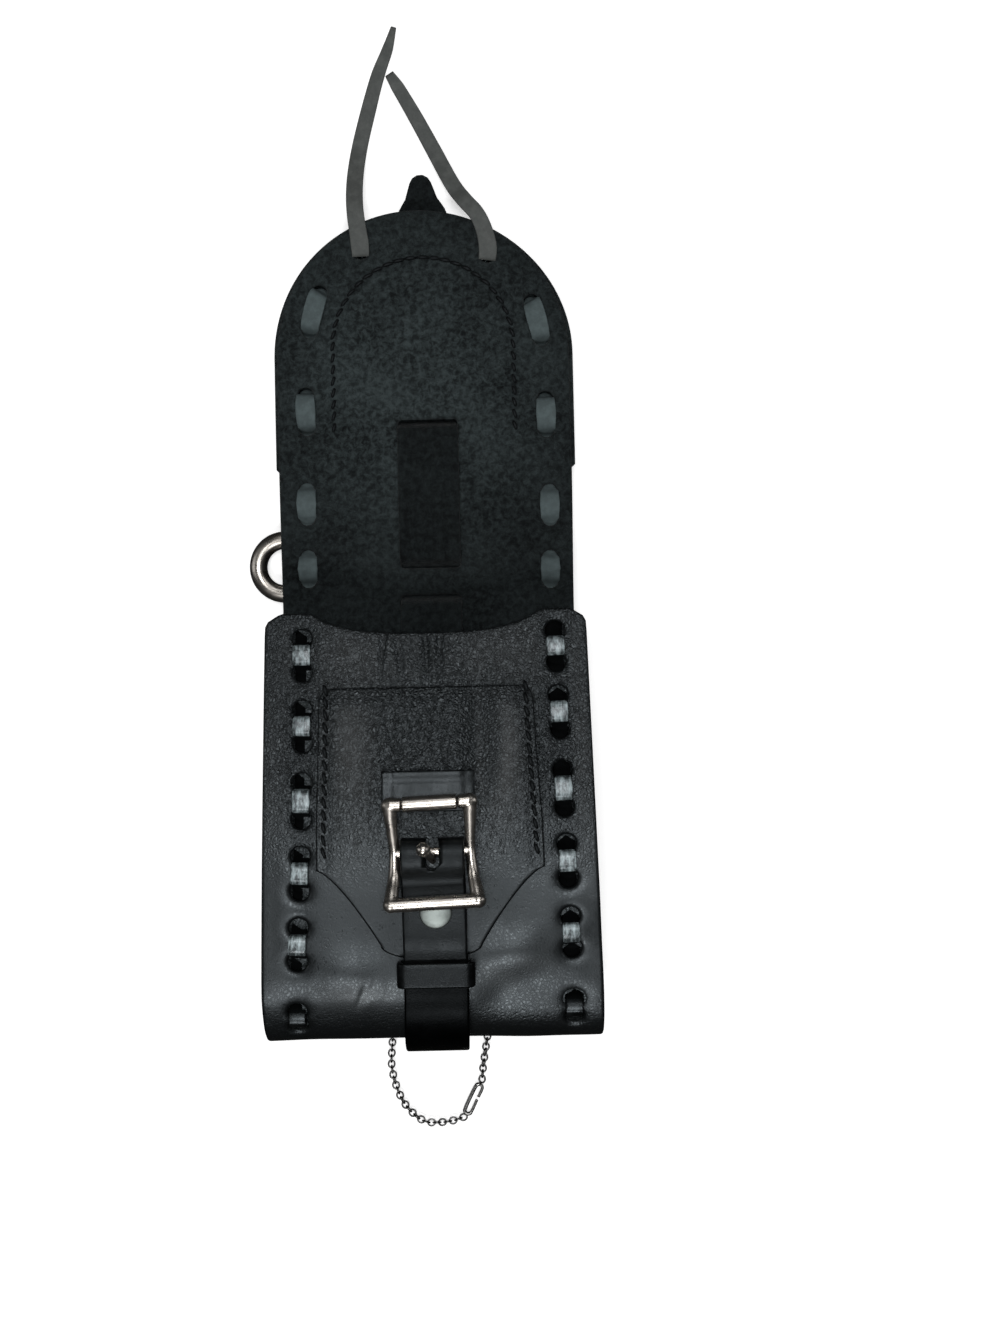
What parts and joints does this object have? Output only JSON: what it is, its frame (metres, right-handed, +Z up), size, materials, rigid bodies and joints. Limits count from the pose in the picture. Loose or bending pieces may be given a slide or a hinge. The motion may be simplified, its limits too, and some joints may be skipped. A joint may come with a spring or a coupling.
{
  "type": "belt pouch",
  "caption": "Laced leather belt pouch with a rounded flap, front pocket, roller buckle on a woven strap, side ring and small chain loop, lying open.",
  "frame": {"origin": "centre of the belt loop strap's outer face, on the surface that the pouch lies on", "axes": "+X across the pouch, +Y from the base towards the flap's end, +Z up, away from the surface"},
  "size_m": [0.0884, 0.2885, 0.0522],
  "materials": {
    "suede_leather": "black leather, flesh side napped, grain side pebbled",
    "grain_leather": "black pebbled grain",
    "smooth_leather": "black smooth strap leather",
    "lace_leather": "black flat lace, slightly glossy",
    "nickel": "bright nickel plate"
  },
  "bodies": {
    "pouch": {"body_panel": "suede_leather", "flap_facing": "grain_leather", "flap_patch": "grain_leather", "gusset_left": "grain_leather", "gusset_right": "grain_leather", "front_pocket": "grain_leather", "buckle_patch": "smooth_leather", "long_strap": "smooth_leather", "strap_keeper": "smooth_leather", "lace_left": "lace_leather", "lace_right": "lace_leather", "lace_tail_left": "lace_leather", "lace_tail_right": "lace_leather", "chape_rivet": "nickel", "ring_tab": "smooth_leather", "chain": "nickel", "chain_clasp": "nickel"},
    "ring": {"side_ring": "nickel"},
    "frame": {"buckle_frame": "nickel"},
    "roller": {"buckle_roller": "nickel"},
    "prong": {"buckle_prong": "nickel"}
  },
  "joints": [
    {"name": "ring_swing", "type": "hinge", "parent": "pouch", "child": "ring", "pos_m": [-0.0307, 0.0652, 0.00355], "axis": [0, 1, 0], "range_deg": [-100, 15]},
    {"name": "buckle_tilt", "type": "hinge", "parent": "pouch", "child": "frame", "pos_m": [0.0009, -0.0058, 0.03935], "axis": [0.9993, 0.0384, 0], "range_deg": [-5, 0]},
    {"name": "prong_swing", "type": "hinge", "parent": "frame", "child": "prong", "pos_m": [0.0009, -0.0058, 0.03935], "axis": [0.9993, 0.0384, 0], "range_deg": [-59, 30]},
    {"name": "roller_spin", "type": "hinge", "parent": "frame", "child": "roller", "pos_m": [0.00045, 0.00589, 0.03975], "axis": [0.9993, 0.0384, 0], "continuous": true}
  ]
}
